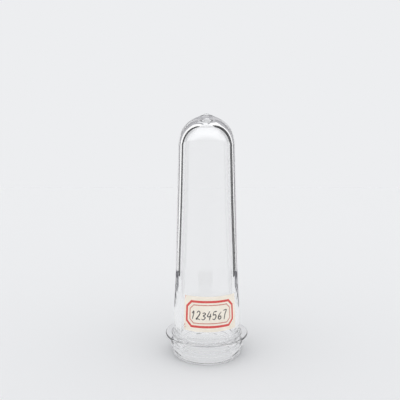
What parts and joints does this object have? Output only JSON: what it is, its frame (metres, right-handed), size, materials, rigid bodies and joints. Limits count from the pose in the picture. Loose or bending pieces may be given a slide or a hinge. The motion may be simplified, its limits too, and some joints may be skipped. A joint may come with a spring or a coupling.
{
  "type": "pet bottle preform",
  "caption": "Clear PET bottle preform standing on its mouth, with a thread-less snap neck, a thin support ring, a tapering body, a domed end with its gate mark and a paper sticker.",
  "frame": {"origin": "on the axis, in the plane of the sealing lip that the part stands on", "axes": "+Z along the axis from the lip to the domed end, -Y towards the sticker"},
  "size_m": [0.034, 0.034, 0.0994],
  "materials": {
    "clear_pet": "clear, moulded in polished steel",
    "sticker_paper": "uncoated paper with a printed red frame"
  },
  "bodies": {
    "root": {"preform": "clear_pet", "paper_sticker": "sticker_paper"}
  },
  "joints": []
}
